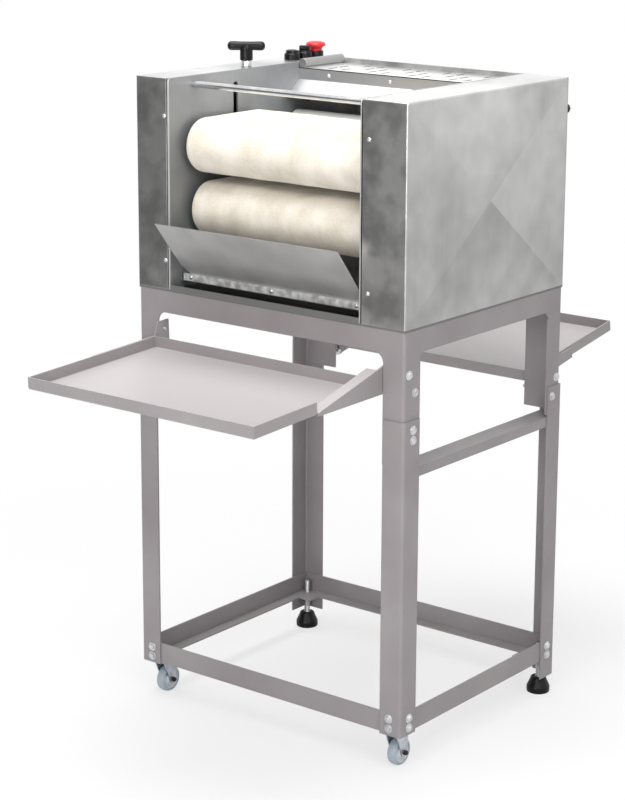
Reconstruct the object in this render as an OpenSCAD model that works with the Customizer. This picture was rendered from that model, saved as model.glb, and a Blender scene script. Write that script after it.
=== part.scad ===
// Bakery dough moulder on a wheeled stand. Dough is sheeted between two rollers under the rear
// cover, curled between two felt belts and let out over the flap at the front.
// Millimetres. The floor is z = 0, the front faces -Y and the right side is +X.

/* [Housing] */
// Width of the housing and of the stand's upper frame
body_w = 600; // [560:5:720]
// Depth of the housing and of the stand's upper frame
body_d = 490; // [470:5:600]
// Height of the housing above the stand
body_h = 385; // [375:5:440]
// Width of the left drive column
left_col = 75; // [65:1:90]
// Width of the right drive column
right_col = 97; // [92:1:120]
// Thickness of the stainless cover sheet
sheet = 2; // [1:0.5:3]
// Thickness of the inner frame plates
plate_t = 4; // [3:0.5:6]
// Thickness of the base plate
base_t = 4; // [3:0.5:6]
// How far the rear cover lies below the housing's top
cover_drop = 10; // [4:1:16]
// Front edge of the rear cover, measured from the back
cover_depth = 120; // [112:1:122]

/* [Stand] */
// Height of the stand's top face above the floor
stand_h = 790; // [740:5:900]
// Thickness of the stand's folded steel
steel = 3; // [2:0.5:4]
// Width of the leg flanges
flange = 45; // [40:1:55]
// Width of the upper back flanges
back_flange = 75; // [60:1:90]
// Height of the top rails
rail_h = 40; // [30:1:50]
// From the stand's top down to the top of the front lower legs
leg_joint = 155; // [140:1:180]
// From the stand's top down to the top of the back lower legs
back_leg_joint = 183; // [180:1:188]
// Overlap of the upper and lower legs
leg_overlap = 80; // [40:1:84]
// From the stand's top down to the middle rail
mid_drop = 240; // [225:5:300]
// Height of the base rails
base_rail_h = 38; // [30:1:50]
// Underside of the base rails above the floor
base_rail_z = 70; // [68:1:80]
// Lower end of the back legs above the floor
back_leg_z = 35; // [30:1:50]

/* [Belts and rollers] */
// Radius of the belt rollers
roller_r = 44; // [36:1:46]
// Thickness of the felt belts
felt = 6; // [4:0.5:8]
// Radius of the roller shafts
shaft_r = 6; // [5:0.5:8]
// Open gap between the two belts
belt_gap = 16; // [8:1:24]
// Height of the lower belt's axis above the base plate
lower_axis = 141; // [130:1:160]
// Upper front roller, measured from the front
upper_front = 80; // [70:1:90]
// Upper back roller, measured from the back
upper_back = 268; // [267:1:275]
// Lower front roller, measured from the front
lower_front = 93; // [85:1:110]
// Lower back roller, measured from the back
lower_back = 138; // [135:1:150]
// Radius of the sheeting rollers
sheet_r = 27; // [22:1:28]
// Open gap between the sheeting rollers
sheet_gap = 5; // [4:0.5:8]
// Sheeting rollers' axis below the housing's top
sheet_drop = 115; // [110:1:120]
// Front sheeting roller, measured from the back
sheet_front = 187; // [184:1:188]
// Travel of the upper belt above rest
lift_up = 10; // [5:1:12]
// Travel of the upper belt below rest
lift_down = 6; // [2:1:8]
// Travel of the back sheeting roller each way
gap_travel = 2; // [1:0.5:3]

/* [Trays] */
// Depth of the front tray
front_tray_d = 321; // [280:1:380]
// Depth of the back tray
back_tray_d = 297; // [240:1:340]
// Height of the tray rims
rim_h = 20; // [16:1:26]
// Thickness of the tray sheet
tray_t = 2; // [1:0.5:3]
// From the stand's top down to the front tray's pivots
front_pivot_drop = 74; // [70:1:90]
// From the stand's top down to the back tray's pivots
back_pivot_drop = 168; // [158:1:174]
// Downward slope of the front tray
front_tray_slope = 2.5; // [0:0.5:4]
// Upward slope of the back tray
back_tray_tilt = 9; // [0:1:12]
// Radius of the tray pins
pin_r = 4; // [3:0.5:5]

/* [Feet and casters] */
// Radius of the caster wheels
wheel_r = 25; // [20:1:26]
// Width of the caster wheels
wheel_w = 18; // [14:1:24]
// Trail of the wheel behind its swivel
caster_trail = 8; // [4:1:14]
// Radius of the levelling feet
foot_r = 22; // [18:1:24]
// Casters, measured in from the leg's inner faces
foot_inset = 27; // [25:1:34]
// Levelling feet, measured in from the leg's inner faces
back_inset = 17; // [15:1:24]

/* [Controls] */
// Length of the T handle
handle_l = 70; // [50:1:90]
// Radius of the T handle's bar
handle_r = 8.5; // [6:0.5:11]
// Angle of the T handle's bar at rest
handle_turn = 36; // [0:1:90]
// Radius of the adjusting screw
screw_r = 6; // [5:0.5:7]
// Radius of the emergency stop's cap
stop_r = 19; // [15:1:20]
// Travel of the push buttons
button_travel = 3; // [2:0.5:4]

/* [Hidden] */
$fn = 48;

// Colours
paint = "#9c989a";
tray_paint = "#a9a5a6";
stainless = "#b4b6b8";
alloy = "#c0c2c4";
dark_steel = "#8c8e90";
zinc = "#d0d0d2";
nylon = "#f2f2ee";
black = "#232326";

// Clearances: running fit of shafts in bores, gap between bodies, slack of plain holes
run = 0.05;
gap = 0.3;
slack = 0.6;

// Frame of the housing
hw = body_w / 2;
hd = body_d / 2;
top_z = stand_h + body_h;
floor_z = stand_h + base_t;
left_x = left_col - hw;
right_x = hw - right_col;
bay_w = right_x - left_x;
seam = 1;

// Belt and roller places
belt_r = roller_r + felt;
arm_gap = 4;
arm_t = 4;
arm_half = 20;
belt_side = 2 * arm_gap + arm_t;
belt_w = bay_w - 2 * belt_side;
lower_z = floor_z + lower_axis;
upper_z = lower_z + 2 * belt_r + belt_gap;
upper_front_y = upper_front - hd;
upper_back_y = hd - upper_back;
lower_front_y = lower_front - hd;
lower_back_y = hd - lower_back;
sheet_z = top_z - sheet_drop;
sheet_front_y = hd - sheet_front;
sheet_back_y = sheet_front_y + 2 * sheet_r + sheet_gap;
slot_top = 21;
ring_r = 16;
ring_w = 8;

// Drive in the right column
chain_x = right_x + plate_t + ring_w + 3;
chain_w = 6;
chain_step = 10;
sprocket_r = 26;
tooth_r = 3;
teeth = 16;
chain_t = 5;
pulley_x = chain_x + 2 * chain_step + 6;
pulley_w = 16;
drive_pulley_r = 58;
motor_pulley_r = 28;
v_depth = 6;
v_in = 6;
shaft_end = pulley_x + pulley_w + 2;
guide_clear = 2.5;
guide_y = upper_back_y - sprocket_r - tooth_r - shaft_r - guide_clear;
motor_r = 50;
motor_foot = 14;
motor_l = 230;
motor_shaft_r = 7;
motor_y = hd - sheet - motor_r - 6;
motor_z = floor_z + motor_foot + motor_r;
motor_in = 60;
motor_x = right_x - motor_in;

// Screw that lifts the upper belt
screw_x = left_x - plate_t - 17;
screw_back = 18;
screw_y = upper_back_y + screw_back;
lift_t = 4;
lift_half = 15;

// Roller gap adjuster on the back
adjust_r = 4;
adjust_x = hw - 20;
adjust_drop = 60;
adjust_z = top_z - adjust_drop;
block_w = 16;
block_half = 13;

// Controls on the left column's top
panel_x = left_col / 2 - hw;
start_in = 95;
select_in = 57;
estop_in = 22;
start_y = hd - start_in;
select_y = hd - select_in;
stop_y = hd - estop_in;

// Trays
web_t = 3;
web_gap = 1;
front_half = hw - flange - web_gap - web_t;
back_half = hw - back_flange - web_gap - web_t;
pivot_in = 13;
stop_in = 30;
stop_drop = 33;
floor_drop = 28;
lug_t = 3;
lug_x = hw - back_flange + web_gap;
back_pivot_out = 13;
back_stop_out = 5;
front_pivot_z = stand_h - front_pivot_drop;
back_pivot_z = stand_h - back_pivot_drop;
upper_leg_z = stand_h - leg_joint - leg_overlap;
front_joint_z = stand_h - leg_joint;
back_joint_z = stand_h - back_leg_joint;
front_leg_z = base_rail_z - steel;

// Flap at the outlet
flap_lean = 38.9;
flap_l = 127;
flap_z = 14;
flap_h = 16;
bar_t = 12;

// Lays a profile drawn in (y, z) along x
module along_x(x0, length) {
    translate([x0, 0, 0]) rotate([90, 0, 90]) linear_extrude(length) children();
}

// Round bar along x through (y, z)
module bar_x(x0, x1, y, z, r) {
    translate([x0, y, z]) rotate([0, 90, 0]) cylinder(h = x1 - x0, r = r);
}

// Folded angle with a rounded bend, its outer corner at the origin
module angle_2d(a, b, t) {
    bend = 2 * t;
    translate([bend, 0]) square([a - bend, t]);
    translate([0, bend]) square([t, b - bend]);
    intersection() {
        square(bend);
        translate([bend, bend]) difference() {
            circle(bend);
            circle(bend - t);
        }
    }
}

// Moves children to a stand corner, turned inwards; sx and sy are -1 or 1
module at_corner(sx, sy, out = 0) {
    translate([sx * (hw + out), sy * (hd + out), 0])
        mirror([sx > 0 ? 1 : 0, 0, 0]) mirror([0, sy > 0 ? 1 : 0, 0]) children();
}

// Inside corner fillet, its square corner at the origin
module fillet_2d(r) {
    difference() {
        square(r);
        translate([r, r]) circle(r);
    }
}

// Rounded bar outline between two points
module link_2d(p, q, r) {
    d = q - p;
    translate(p) circle(r);
    translate(q) circle(r);
    translate(p) rotate(atan2(d[1], d[0])) translate([0, -r]) square([norm(d), 2 * r]);
}

// Stand

module end_frame(sy, wide) {
    lip = 40;
    bend = 18;
    for (sx = [-1, 1]) {
        at_corner(sx, sy) translate([0, 0, upper_leg_z])
            linear_extrude(stand_h - upper_leg_z) angle_2d(wide, flange, steel);
        at_corner(sx, sy) translate([wide, 0, stand_h - rail_h])
            mirror([0, 0, 1]) rotate([90, 0, 0]) mirror([0, 0, 1]) linear_extrude(steel) fillet_2d(bend);
    }
    translate([0, sy * (hd - steel / 2), stand_h - rail_h / 2])
        cube([body_w - 2 * wide, steel, rail_h], center = true);
    translate([0, sy * (hd - steel - lip / 2), stand_h - steel / 2])
        cube([body_w - 2 * wide, lip, steel], center = true);
}

module front_frame() { color(paint) end_frame(-1, flange); }
module back_frame() { color(paint) end_frame(1, back_flange); }

module top_rail(sx) {
    lip = 36;
    bend = 14;
    length = body_d - 2 * flange;
    color(paint) {
        translate([sx * (hw - steel / 2), 0, stand_h - rail_h / 2])
            cube([steel, length, rail_h], center = true);
        translate([sx * (hw - steel - lip / 2), 0, stand_h - steel / 2])
            cube([lip, length, steel], center = true);
        for (sy = [-1, 1])
            mirror([0, sy > 0 ? 1 : 0, 0])
                translate([sx > 0 ? hw - steel : -hw, -length / 2, stand_h - rail_h])
                    mirror([0, 0, 1]) rotate([90, 0, 90]) linear_extrude(steel) fillet_2d(bend);
    }
}

module top_rail_left() { top_rail(-1); }
module top_rail_right() { top_rail(1); }

module lower_leg(sx, sy, z0, z1) {
    color(paint) at_corner(sx, sy, steel) translate([0, 0, z0])
        linear_extrude(z1 - z0) angle_2d(flange, flange, steel);
}

module lower_leg_fl() { lower_leg(-1, -1, front_leg_z, front_joint_z); }
module lower_leg_fr() { lower_leg(1, -1, front_leg_z, front_joint_z); }
module lower_leg_bl() { lower_leg(-1, 1, back_leg_z, back_joint_z); }
module lower_leg_br() { lower_leg(1, 1, back_leg_z, back_joint_z); }

module mid_rail() {
    depth = 40;
    drop = 18;
    length = body_d - 2 * steel;
    color(paint) {
        translate([hw - steel, -length / 2, stand_h - mid_drop - drop]) cube([steel, length, drop]);
        translate([hw - depth, -length / 2, stand_h - mid_drop - steel])
            cube([depth - steel, length, steel]);
    }
}

rail_lip = 26;
rail_clear = 2 * foot_inset;

module base_rail_end(sy) {
    color(paint) {
        translate([steel - hw, sy > 0 ? hd - steel : -hd, base_rail_z])
            cube([body_w - 2 * steel, steel, base_rail_h]);
        translate([-hw + rail_clear, sy > 0 ? hd - rail_lip : steel - hd, base_rail_z])
            cube([body_w - 2 * rail_clear, rail_lip - steel, steel]);
    }
}

module base_rail_side(sx) {
    color(paint) {
        translate([sx > 0 ? hw - steel : -hw, steel - hd, base_rail_z])
            cube([steel, body_d - 2 * steel, base_rail_h]);
        translate([sx > 0 ? hw - rail_lip : steel - hw, rail_clear - hd, base_rail_z])
            cube([rail_lip - steel, body_d - 2 * rail_clear, steel]);
    }
}

module base_rail_front() { base_rail_end(-1); }
module base_rail_back() { base_rail_end(1); }
module base_rail_left() { base_rail_side(-1); }
module base_rail_right() { base_rail_side(1); }

stem_r = 6;
stud_r = 5;

// Caster stems in front, foot studs at the back
function hole_in(sy) = sy < 0 ? foot_inset : back_inset;

module corner_brackets() {
    color(paint) for (sx = [-1, 1], sy = [-1, 1])
        difference() {
            at_corner(sx, sy) translate([steel, steel, base_rail_z])
                cube([rail_clear - steel, rail_clear - steel, steel]);
            at_corner(sx, sy) translate([hole_in(sy), hole_in(sy), base_rail_z - 1])
                cylinder(h = steel + 2, r = (sy < 0 ? stem_r : stud_r) + run);
        }
}

bolt_h = 4;
bolt_r = 6.5;
pin_over = 2;

// Six-sided bolt head standing out of a side face, then out of a front or back face
module side_bolt(sx, x, y, z) {
    translate([sx * x, y, z]) rotate([0, sx * 90, 0]) cylinder(h = bolt_h, r = bolt_r, $fn = 6);
}

module face_bolt(sy, x, y, z) {
    translate([x, sy * y, z]) rotate([-sy * 90, 0, 0]) cylinder(h = bolt_h, r = bolt_r, $fn = 6);
}

// Pin from a leg or a lug at outer, inwards through a tray's arm web
module tray_pin(sx, half, outer, y, z) {
    inner = half - pin_over;
    bar_x(sx > 0 ? inner : -outer, sx > 0 ? outer : -inner, y, z, pin_r);
}

module stand_bolts() {
    mid_leg = flange / 2;
    pitch = 18;
    joint_in = 16;
    lug_over = 10;
    rail_z = base_rail_z + base_rail_h / 2;
    out = hw + steel;
    color(zinc) for (sx = [-1, 1]) {
        for (k = [0, 1])
            side_bolt(sx, out, mid_leg - hd, front_joint_z - joint_in - k * pitch);
        for (sy = [-1, 1], k = [0, 1]) {
            side_bolt(sx, out, sy * (hd - mid_leg), rail_z + (k - 0.5) * pitch);
            face_bolt(sy, sx * (hw - mid_leg), hd + steel, rail_z + (k - 0.5) * pitch);
        }
        for (y = [pivot_in, stop_in])
            side_bolt(sx, hw, y - hd, front_pivot_z - (y == stop_in ? stop_drop : 0));
        side_bolt(sx, hw, hd - pivot_in, back_pivot_z);
        side_bolt(sx, out, hd - stop_in, back_pivot_z - stop_drop);
        tray_pin(sx, front_half, hw - steel, pivot_in - hd, front_pivot_z);
        tray_pin(sx, front_half, hw - steel, stop_in - hd, front_pivot_z - stop_drop);
        tray_pin(sx, back_half, lug_x + 1, hd + back_pivot_out, back_pivot_z);
        tray_pin(sx, back_half, lug_x + 1, hd + back_stop_out, back_pivot_z - stop_drop);
        // Lug on the back leg's outer face that holds the back tray's two pins
        translate([sx > 0 ? lug_x : -lug_x - lug_t, hd, back_pivot_z - stop_drop - lug_over])
            cube([lug_t, back_pivot_out + lug_over, stop_drop + 2 * lug_over]);
    }
}

// Casters and feet

caster_x = hw - foot_inset;
caster_y = foot_inset - hd;
axle_r = 4;
crown_z = base_rail_z - gap;
fork_gap = 1.5;
fork_t = 2.5;

module caster_fork(sx) {
    fork_w = wheel_w + 2 * fork_gap + 2 * fork_t;
    crown_t = 3;
    race_h = 7;
    race_r = 19;
    race_z = crown_z - race_h;
    front = -15;
    back = 19;
    eye_r = 8;
    stem_h = 13;
    axle_out = 2;
    color("#b9b6b8") translate([sx * caster_x, caster_y, 0]) {
        translate([0, 0, race_z]) cylinder(h = race_h, r = race_r);
        translate([0, 0, race_z]) cylinder(h = race_h + stem_h, r = stem_r);
        translate([-fork_w / 2, front, race_z - crown_t]) cube([fork_w, back - front, crown_t]);
        for (x = [-fork_w / 2, fork_w / 2 - fork_t])
            along_x(x, fork_t) {
                polygon([[front, race_z], [back, race_z],
                    [caster_trail + eye_r, wheel_r], [caster_trail - eye_r, wheel_r]]);
                translate([caster_trail, wheel_r]) circle(eye_r);
            }
        bar_x(-fork_w / 2 - axle_out, fork_w / 2 + axle_out, caster_trail, wheel_r, axle_r);
    }
}

module caster_wheel(sx) {
    crown = 3;
    hub_r = 11;
    web = 5;
    half = wheel_w / 2;
    rim = wheel_r - 5;
    slope = 2;
    color("#aab2b8") translate([sx * caster_x, caster_y + caster_trail, wheel_r]) rotate([0, 90, 0])
        rotate_extrude() polygon([[axle_r + run, -half], [hub_r, -half], [hub_r + slope, -web],
            [rim - slope, -web], [rim, -half], [wheel_r - crown, -half], [wheel_r, crown - half],
            [wheel_r, half - crown], [wheel_r - crown, half], [rim, half], [rim - slope, web],
            [hub_r + slope, web], [hub_r, half], [axle_r + run, half]]);
}

module caster_fork_left() { caster_fork(-1); }
module caster_wheel_left() { caster_wheel(-1); }
module caster_fork_right() { caster_fork(1); }
module caster_wheel_right() { caster_wheel(1); }

module foot(sx) {
    neck_r = 14;
    neck_h = 4;
    foot_h = 30;
    sole = 12;
    edge = 2;
    nut_h = 6;
    nut_r = 9;
    stud_up = 28;
    color(black) translate([sx * (hw - back_inset), hd - back_inset, 0]) {
        rotate_extrude() polygon([[0, 0], [foot_r - edge, 0], [foot_r, edge], [foot_r, sole],
            [neck_r + 1, foot_h - neck_h], [neck_r, foot_h], [0, foot_h]]);
        cylinder(h = base_rail_z + stud_up, r = stud_r);
        translate([0, 0, base_rail_z - gap - nut_h]) cylinder(h = nut_h, r = nut_r, $fn = 6);
    }
}

module foot_left() { foot(-1); }
module foot_right() { foot(1); }

// Trays: each lies on two tapered arms that swing up on pins behind the legs

// Tray with its inner edge at y = 0, running to -Y, its floor's top at z = 0; its rim stands all
// round, apart from the part of the right side behind right_run
module tray_pan(half, depth, right_run) {
    translate([-half, -depth, -tray_t]) cube([2 * half, depth, tray_t]);
    for (y = [-depth, -tray_t])
        translate([-half, y, 0]) cube([2 * half, tray_t, rim_h]);
    translate([-half, tray_t - depth, 0]) cube([tray_t, depth - 2 * tray_t, rim_h]);
    translate([half - tray_t, tray_t - depth, 0]) cube([tray_t, right_run - tray_t, rim_h]);
}

front_reach = front_tray_d * 0.5;
back_reach = back_tray_d * 0.5;
tray_out = 14;
pivot = [pivot_in + tray_out, floor_drop];
back_pivot = [2, floor_drop];
web_low = floor_drop - stop_drop - pin_r - 1;
web_tip = 4;

// Arm end that bears on the stop pin, for a tray that slopes up by tilt and has its stop in_by
// behind its pivot at y
function arm_back(tilt, y, in_by) = y + in_by * cos(tilt) + stop_drop * sin(tilt) - pin_r - gap;

// Arm web outside the tray on one side, in the tray's frame, with the hole of its pivot pin
module tray_web(s, half, hole, outline) {
    x = s > 0 ? half : -half - web_t;
    difference() {
        along_x(x, web_t) polygon(outline);
        bar_x(x - 1, x + web_t + 1, hole[0], hole[1], pin_r + run);
    }
}

module front_place() {
    translate([0, pivot_in - hd, front_pivot_z]) rotate([front_tray_slope, 0, 0])
        translate([0, -pivot[0], -floor_drop]) children();
}

module back_place() {
    translate([0, hd + back_pivot_out, back_pivot_z]) rotate([back_tray_tilt, 0, 0])
        translate([0, back_pivot[0], -floor_drop]) rotate([0, 0, 180]) children();
}

module front_tray() {
    color(tray_paint) front_place() tray_pan(front_half, front_tray_d, front_tray_d - front_reach);
}

// The right arm slopes up to the leg with a flange turned in; the left one stays behind the rim
module front_tray_arms() {
    lip = 20;
    turn_up = 10;
    top = floor_drop + 16;
    back = arm_back(-front_tray_slope, pivot[0], stop_in - pivot_in);
    inner_z = (top - tray_t) / (back + front_reach) * front_reach;
    color(tray_paint) front_place() {
        tray_web(1, front_half, pivot, [[back, top], [back, web_low], [-front_reach, -web_tip],
            [-front_reach, tray_t]]);
        along_x(front_half - lip, lip) polygon([[-front_reach, 0], [0, inner_z], [0, inner_z + tray_t],
            [-front_reach, tray_t]]);
        tray_web(-1, front_half, pivot, [[back, top], [back, web_low], [-front_reach, -web_tip],
            [-front_reach, rim_h], [0, rim_h], [turn_up, top]]);
    }
}

module back_tray() {
    color(tray_paint) back_place() tray_pan(back_half, back_tray_d, back_tray_d - tray_t);
}

module back_tray_arms() {
    edge = 4;
    turn_up = 12;
    top = floor_drop + pin_r + edge;
    back = arm_back(back_tray_tilt, back_pivot[0], back_pivot_out - back_stop_out);
    color(tray_paint) back_place() for (s = [-1, 1])
        tray_web(s, back_half, back_pivot, [[back, top], [back, web_low], [-back_reach, -web_tip],
            [-back_reach, rim_h - edge], [-turn_up, rim_h - edge], [-edge, top]]);
}

// Housing

module base_plate() {
    lip = 9;
    color(stainless) {
        translate([-hw, -hd, stand_h]) cube([body_w, body_d, base_t]);
        translate([left_x, -hd, floor_z]) cube([bay_w, sheet, lip]);
    }
}

// Holes that both frame plates have, drawn in (y, z)
module plate_holes_2d() {
    hole = shaft_r + slack;
    for (p = [[lower_front_y, lower_z], [lower_back_y, lower_z], [sheet_front_y, sheet_z]])
        translate(p) circle(hole);
    link_2d([guide_y, upper_z - lift_down], [guide_y, top_z - slot_top - hole], hole);
    link_2d([upper_back_y, upper_z - lift_down], [upper_back_y, upper_z + lift_up], hole);
    link_2d([upper_front_y, upper_z - lift_down], [upper_front_y, upper_z + lift_up], hole);
    link_2d([sheet_back_y - gap_travel, sheet_z], [sheet_back_y + gap_travel, sheet_z], hole);
}

plate_round = 8;

module plate_2d(outline) {
    difference() {
        union() {
            polygon(outline);
            translate([plate_round - hd, top_z - plate_round]) circle(plate_round);
        }
        plate_holes_2d();
    }
}

module left_frame_plate() {
    back_y = hd - sheet;
    cut_y = sheet_back_y + 24;
    cut_drop = 77;
    knee_drop = 57;
    cut_z = top_z - cut_drop;
    knee_z = top_z - knee_drop;
    slant = 42;
    color(stainless) along_x(left_x - plate_t, plate_t)
        plate_2d([[-hd, floor_z], [back_y, floor_z], [back_y, cut_z], [cut_y, cut_z], [cut_y, knee_z],
            [cut_y + slant, top_z], [plate_round - hd, top_z], [-hd, top_z - plate_round]]);
}

module right_frame_plate() {
    back_y = hd - sheet;
    color(stainless) difference() {
        along_x(right_x, plate_t)
            plate_2d([[-hd, floor_z], [back_y, floor_z], [back_y, top_z], [plate_round - hd, top_z],
                [-hd, top_z - plate_round]]);
        bar_x(right_x - 1, right_x + plate_t + 1, motor_y, motor_z, motor_shaft_r + slack);
    }
}

// Cover folded from one sheet: front, outer side and top; open inwards, downwards and to the back
module column_cover(x0, x1, side) {
    inner0 = side < 0 ? x0 + sheet : x0 - 1;
    inner1 = side < 0 ? x1 + 1 : x1 - sheet;
    difference() {
        translate([x0, -hd, floor_z]) cube([x1 - x0, body_d - sheet, body_h - base_t]);
        translate([inner0, sheet - hd, floor_z - 1])
            cube([inner1 - inner0, body_d, body_h - base_t - sheet + 1]);
    }
}

button_r = 11;
stem_hole = 8;

module left_cover() {
    color(stainless) difference() {
        column_cover(-hw, left_x - plate_t - seam, -1);
        translate([screw_x, screw_y, top_z - 10]) cylinder(h = 20, r = screw_r + gap);
        for (y = [start_y, select_y, stop_y])
            translate([panel_x, y, top_z - 10]) cylinder(h = 20, r = stem_hole + gap);
    }
}

module right_cover() { color(stainless) column_cover(right_x + plate_t + seam, hw, 1); }

module back_panel() {
    color(stainless) difference() {
        translate([-hw, hd - sheet, floor_z]) cube([body_w, sheet, body_h - base_t]);
        translate([adjust_x, hd + 1, adjust_z]) rotate([90, 0, 0])
            cylinder(h = sheet + 2, r = adjust_r + gap);
    }
}

// Slotted rear cover with a rolled left edge and a turned-down front edge that runs on as the
// sloping feed plate above the sheeting rollers
module rear_cover() {
    y0 = hd - cover_depth;
    z1 = top_z - cover_drop;
    edge = 22;
    roll_r = 9;
    slot_w = 5;
    slot_l = 29;
    rows = 3;
    columns = 12;
    roll_y = y0;
    feed_run = 40;
    feed_fall = 31;
    slot_x = 60;
    slot_y = 16;
    pitch_x = (bay_w - 1.5 * slot_x) / (columns - 1);
    pitch_y = (cover_depth - sheet - slot_y) / rows;
    color(stainless) {
        difference() {
            translate([left_x, y0, z1 - sheet]) cube([bay_w, cover_depth - sheet, sheet]);
            for (i = [0 : columns - 1], j = [0 : rows - 1])
                if ((i + j) % 3 != 2)
                    translate([left_x + slot_x + i * pitch_x, y0 + slot_y + j * pitch_y, z1 - sheet - 1])
                        linear_extrude(sheet + 2) link_2d([0, 0], [0, slot_l - slot_w], slot_w / 2);
        }
        translate([left_x, y0, z1 - edge]) cube([bay_w, sheet, edge - sheet]);
        along_x(left_x, bay_w) polygon([[y0, z1 - edge], [y0 + sheet, z1 - edge],
            [y0 + sheet - feed_run, z1 - edge - feed_fall], [y0 - feed_run, z1 - edge - feed_fall]]);
        translate([left_x + roll_r, hd - sheet, z1 + roll_r - 1]) rotate([90, 0, 0])
            cylinder(h = hd - sheet - roll_y, r = roll_r);
    }
}

module front_rod() {
    rod_r = 6;
    rod_in = 66;
    rod_drop = 15;
    color("#d9d9da") bar_x(left_x, right_x, rod_in - hd, top_z - rod_drop, rod_r);
}

flap_side = 9;
flap_in = 30;
bar_y = flap_in + sheet - hd;

module exit_flap() {
    z0 = floor_z + flap_z;
    y0 = flap_in - hd;
    reach = flap_l * sin(flap_lean);
    rise = flap_l * cos(flap_lean);
    corner = 18;
    color(stainless) difference() {
        along_x(left_x + flap_side, bay_w - 2 * flap_side)
            polygon([[y0, z0], [y0 + sheet, z0], [y0 + sheet, z0 + flap_h],
                [y0 + sheet - reach, z0 + flap_h + rise], [y0 - reach, z0 + flap_h + rise],
                [y0, z0 + flap_h]]);
        // Cut-back lower corners
        for (x = [left_x + flap_side, right_x - flap_side])
            translate([x, y0, z0 + flap_h]) rotate([0, 45, 0])
                cube([corner, 2 * flap_l, corner], center = true);
    }
}

module flap_bar() {
    over = 2;
    color(dark_steel) translate([left_x, bar_y, floor_z + flap_z - over])
        cube([bay_w, bar_t, flap_h + 2 * over]);
}

strip_t = 3;

module flap_strip() {
    strip_in = 1;
    color(stainless) translate([left_x + flap_side, flap_in - hd - strip_t, floor_z + flap_z + strip_in])
        cube([bay_w - 2 * flap_side, strip_t, flap_h - 3 * strip_in]);
}

// Domed screw head facing the front, seated at depth y
module front_screw(x, y, z) {
    head_r = 4;
    crown_r = 2.8;
    head_h = 2.5;
    translate([x, y, z]) rotate([90, 0, 0]) cylinder(h = head_h, r1 = head_r, r2 = crown_r);
}

module housing_screws() {
    left_in = 6;
    right_in = 14;
    high = 67;
    low = 53;
    strip_y = flap_in - hd - strip_t;
    strip_end = 26;
    edge_drop = 12;
    color(zinc) {
        for (x = [left_x - plate_t - left_in, right_x + plate_t + right_in],
            z = [floor_z + low, top_z - high])
            front_screw(x, -hd, z);
        for (k = [-1 : 1])
            front_screw((left_x + right_x) / 2 + k * (bay_w / 2 - strip_end), strip_y,
                floor_z + flap_z + flap_h / 2);
        for (k = [0 : 2])
            front_screw(left_x + bay_w * (k + 0.5) / 3, hd - cover_depth, top_z - cover_drop - edge_drop);
    }
}

// Belts and rollers

module roller(y, z, r, x0, x1, ext_l, ext_r) {
    bar_x(x0, x1, y, z, r);
    bar_x(ext_l, ext_r, y, z, shaft_r);
}

module sprocket(x, y, z) {
    translate([x, y, z]) rotate([90, 0, 90]) linear_extrude(chain_w) difference() {
        circle(sprocket_r);
        for (k = [0 : teeth - 1])
            rotate(k * 360 / teeth) translate([sprocket_r, 0]) circle(tooth_r);
    }
}

drum_l = left_x + belt_side;
drum_r = right_x - belt_side;
shaft_out = 2;
sheet_side = 4;
end_l = left_x - plate_t - ring_w - shaft_out;
end_r = right_x + plate_t + ring_w + shaft_out;

module belt_loop(y0, y1, z) {
    color("#ece5d3") along_x(drum_l, belt_w) difference() {
        link_2d([y0, z], [y1, z], belt_r);
        link_2d([y0, z], [y1, z], roller_r + gap);
    }
}

module upper_belt() { belt_loop(upper_front_y, upper_back_y, upper_z); }
module lower_belt() { belt_loop(lower_front_y, lower_back_y, lower_z); }

module upper_arms() {
    pin_out = 2;
    color(dark_steel) {
        for (x = [left_x + arm_gap, right_x - arm_gap - arm_t])
            along_x(x, arm_t) difference() {
                link_2d([upper_front_y, upper_z], [upper_back_y, upper_z], arm_half);
                for (y = [upper_front_y, upper_back_y])
                    translate([y, upper_z]) circle(shaft_r + run);
            }
        // Guide pins that run in the long slots of the frame plates
        bar_x(left_x - plate_t - pin_out, left_x + arm_gap + 1, guide_y, upper_z, shaft_r);
        bar_x(right_x - arm_gap - 1, right_x + plate_t + pin_out, guide_y, upper_z, shaft_r);
    }
}

module lift_bracket() {
    off = 4;
    nut_half = 12;
    x1 = left_x - plate_t - off;
    color(dark_steel) difference() {
        union() {
            along_x(x1 - lift_t, lift_t)
                link_2d([upper_back_y, upper_z], [screw_y, upper_z], lift_half);
            translate([screw_x - nut_half, screw_y - nut_half, upper_z - lift_half])
                cube([x1 - screw_x + nut_half, 2 * nut_half, 2 * lift_half]);
        }
        bar_x(x1 - lift_t - 1, x1 + 1, upper_back_y, upper_z, shaft_r + run);
        translate([screw_x, screw_y, upper_z - lift_half - 1])
            cylinder(h = 2 * lift_half + 2, r = screw_r + run);
    }
}

module upper_front_roller() {
    color(alloy) roller(upper_front_y, upper_z, roller_r, drum_l, drum_r,
        left_x - plate_t, right_x + plate_t);
}

module upper_rear_roller() {
    color(alloy) {
        roller(upper_back_y, upper_z, roller_r, drum_l, drum_r, end_l, chain_x + chain_w + shaft_out);
        sprocket(chain_x, upper_back_y, upper_z);
    }
}

module lower_front_roller() {
    color(alloy) roller(lower_front_y, lower_z, roller_r, drum_l, drum_r, end_l, end_r);
}

module grooved_pulley(x, y, z, r) {
    rim = r + 3;
    root = r - v_depth;
    edge = 2;
    translate([x, y, z]) rotate([0, 90, 0]) rotate_extrude()
        polygon([[0, 0], [rim, 0], [rim, edge], [root, v_in], [root, pulley_w - v_in],
            [rim, pulley_w - edge], [rim, pulley_w], [0, pulley_w]]);
}

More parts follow.
